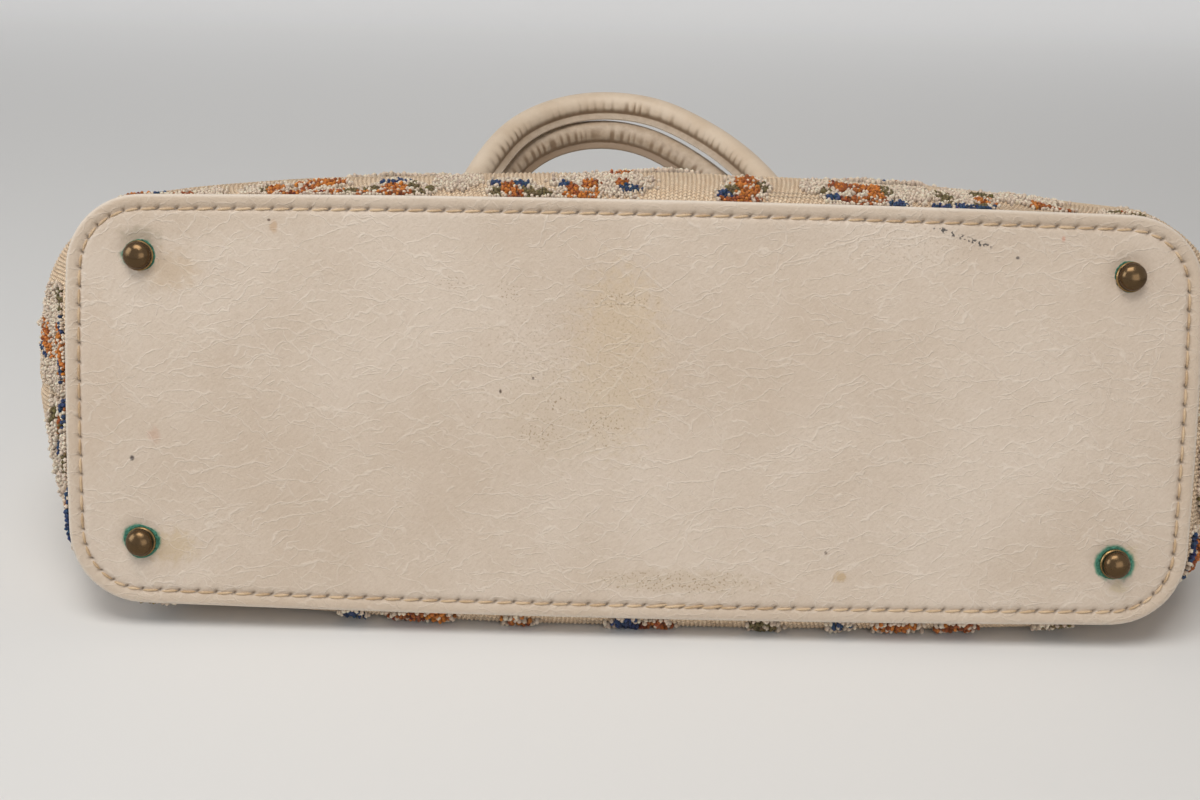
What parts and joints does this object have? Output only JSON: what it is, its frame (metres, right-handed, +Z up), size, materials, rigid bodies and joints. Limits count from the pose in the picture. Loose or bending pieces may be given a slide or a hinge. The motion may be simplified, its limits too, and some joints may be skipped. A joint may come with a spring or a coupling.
{
  "type": "carpet bag",
  "caption": "Soft carpet bag lying on its side: stitched leather base on domed metal feet, bound open mouth and rolled leather handles that swing on rings.",
  "frame": {"origin": "on the floor, at the middle of the flat belly of the back panel that the bag lies on", "axes": "+X along the bag's width to the right of the picture, +Y from the base towards the mouth, +Z up"},
  "size_m": [0.4208, 0.3941, 0.1367],
  "materials": {
    "carpet": "looped pile carpet with tufted flowers",
    "lining": "plain woven cloth",
    "base_leather": "creased cream leather, stained",
    "trim_leather": "cream leather",
    "board": "pressed fibreboard",
    "brass": "aged brass",
    "cord": "twisted cotton cord"
  },
  "bodies": {
    "bag": {"carpet_front": "carpet", "carpet_back": "carpet", "lining": "lining", "mouth_binding": "trim_leather", "base_panel": "base_leather", "base_board": "board", "foot_front_left": "brass", "foot_front_right": "brass", "foot_back_left": "brass", "foot_back_right": "brass", "foot_washers": "brass", "tab_front_left": "trim_leather", "tab_front_right": "trim_leather", "tab_back_left": "trim_leather", "tab_back_right": "trim_leather", "tab_rivets": "brass"},
    "front_handle": {"handle_front_roll": "trim_leather", "handle_front_core": "cord", "ring_front_left": "brass", "ring_front_right": "brass"},
    "back_handle": {"handle_back_roll": "trim_leather", "handle_back_core": "cord", "ring_back_left": "brass", "ring_back_right": "brass"}
  },
  "joints": [
    {"name": "front_handle_swing", "type": "hinge", "parent": "bag", "child": "front_handle", "pos_m": [0, 0.13387, 0.03501], "axis": [1, 0, 0], "range_deg": [0, 100]},
    {"name": "back_handle_swing", "type": "hinge", "parent": "bag", "child": "back_handle", "pos_m": [0, 0.12456, 0.00356], "axis": [1, 0, 0], "range_deg": [-195, 0]}
  ]
}
